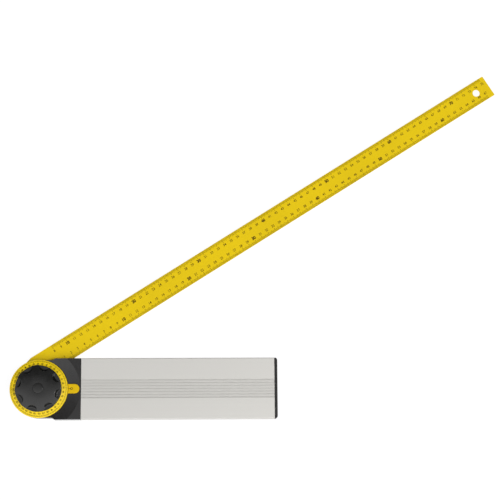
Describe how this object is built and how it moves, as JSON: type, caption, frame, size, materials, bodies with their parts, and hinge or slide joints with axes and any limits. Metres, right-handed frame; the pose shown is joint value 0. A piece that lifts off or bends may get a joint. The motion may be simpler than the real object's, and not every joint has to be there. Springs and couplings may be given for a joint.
{
  "type": "folding protractor bevel",
  "caption": "Folding protractor bevel: grooved aluminium stock, black head with a yellow dial and clamping knob, and a long yellow rule that turns on it.",
  "frame": {"origin": "where the pivot axis meets the flat back of the head", "axes": "+X along the stock from the pivot towards the end cap; +Z along the pivot axis, from the back towards the knob; the blade opens from +X towards +Y"},
  "size_m": [0.6384, 0.4569, 0.0311],
  "materials": {
    "anodised_aluminium": "satin",
    "black_plastic": "satin",
    "knob_plastic": "matte",
    "yellow_lacquer": "satin",
    "yellow_plastic": "satin",
    "zinc_steel": "satin",
    "brass": "satin",
    "friction_fibre": "matte",
    "white_nylon": "satin",
    "scale_print": "matte"
  },
  "bodies": {
    "stock": {"stock_profile": "anodised_aluminium", "head_front_shell": "black_plastic", "head_back_shell": "black_plastic", "index_tab": "yellow_plastic", "end_cap": "black_plastic", "clamp_bolt": "zinc_steel", "back_friction_ring": "friction_fibre", "front_glide_ring": "white_nylon", "shell_screw_1": "zinc_steel", "shell_screw_2": "zinc_steel", "stock_screw_1": "zinc_steel", "stock_screw_2": "zinc_steel"},
    "blade": {"blade": "yellow_lacquer", "dial_hub": "black_plastic", "dial_ring": "yellow_plastic", "hub_rivet_1": "zinc_steel", "hub_rivet_2": "zinc_steel", "hub_rivet_3": "zinc_steel", "dial_screw_1": "zinc_steel", "dial_screw_2": "zinc_steel", "dial_screw_3": "zinc_steel"},
    "clamp_washer": {"thrust_washer": "zinc_steel"},
    "knob": {"knob": "knob_plastic", "knob_insert": "brass", "knob_cap": "knob_plastic"}
  },
  "joints": [
    {"name": "blade_turn", "type": "hinge", "parent": "stock", "child": "blade", "pos_m": [0, 0, 0.01], "axis": [0, 0, 1], "range_deg": [-32.3, 172.7]},
    {"name": "knob_lift", "type": "slide", "parent": "stock", "child": "clamp_washer", "axis": [0, 0, 1], "range_m": [0, 0.00125]},
    {"name": "knob_turn", "type": "hinge", "parent": "clamp_washer", "child": "knob", "pos_m": [0, 0, 0.026], "axis": [0, 0, 1], "range_deg": [0, 360]}
  ],
  "couplings": [
    {"joint": "knob_lift", "follows": "knob_turn", "m_per_rad": 0.00019894}
  ]
}
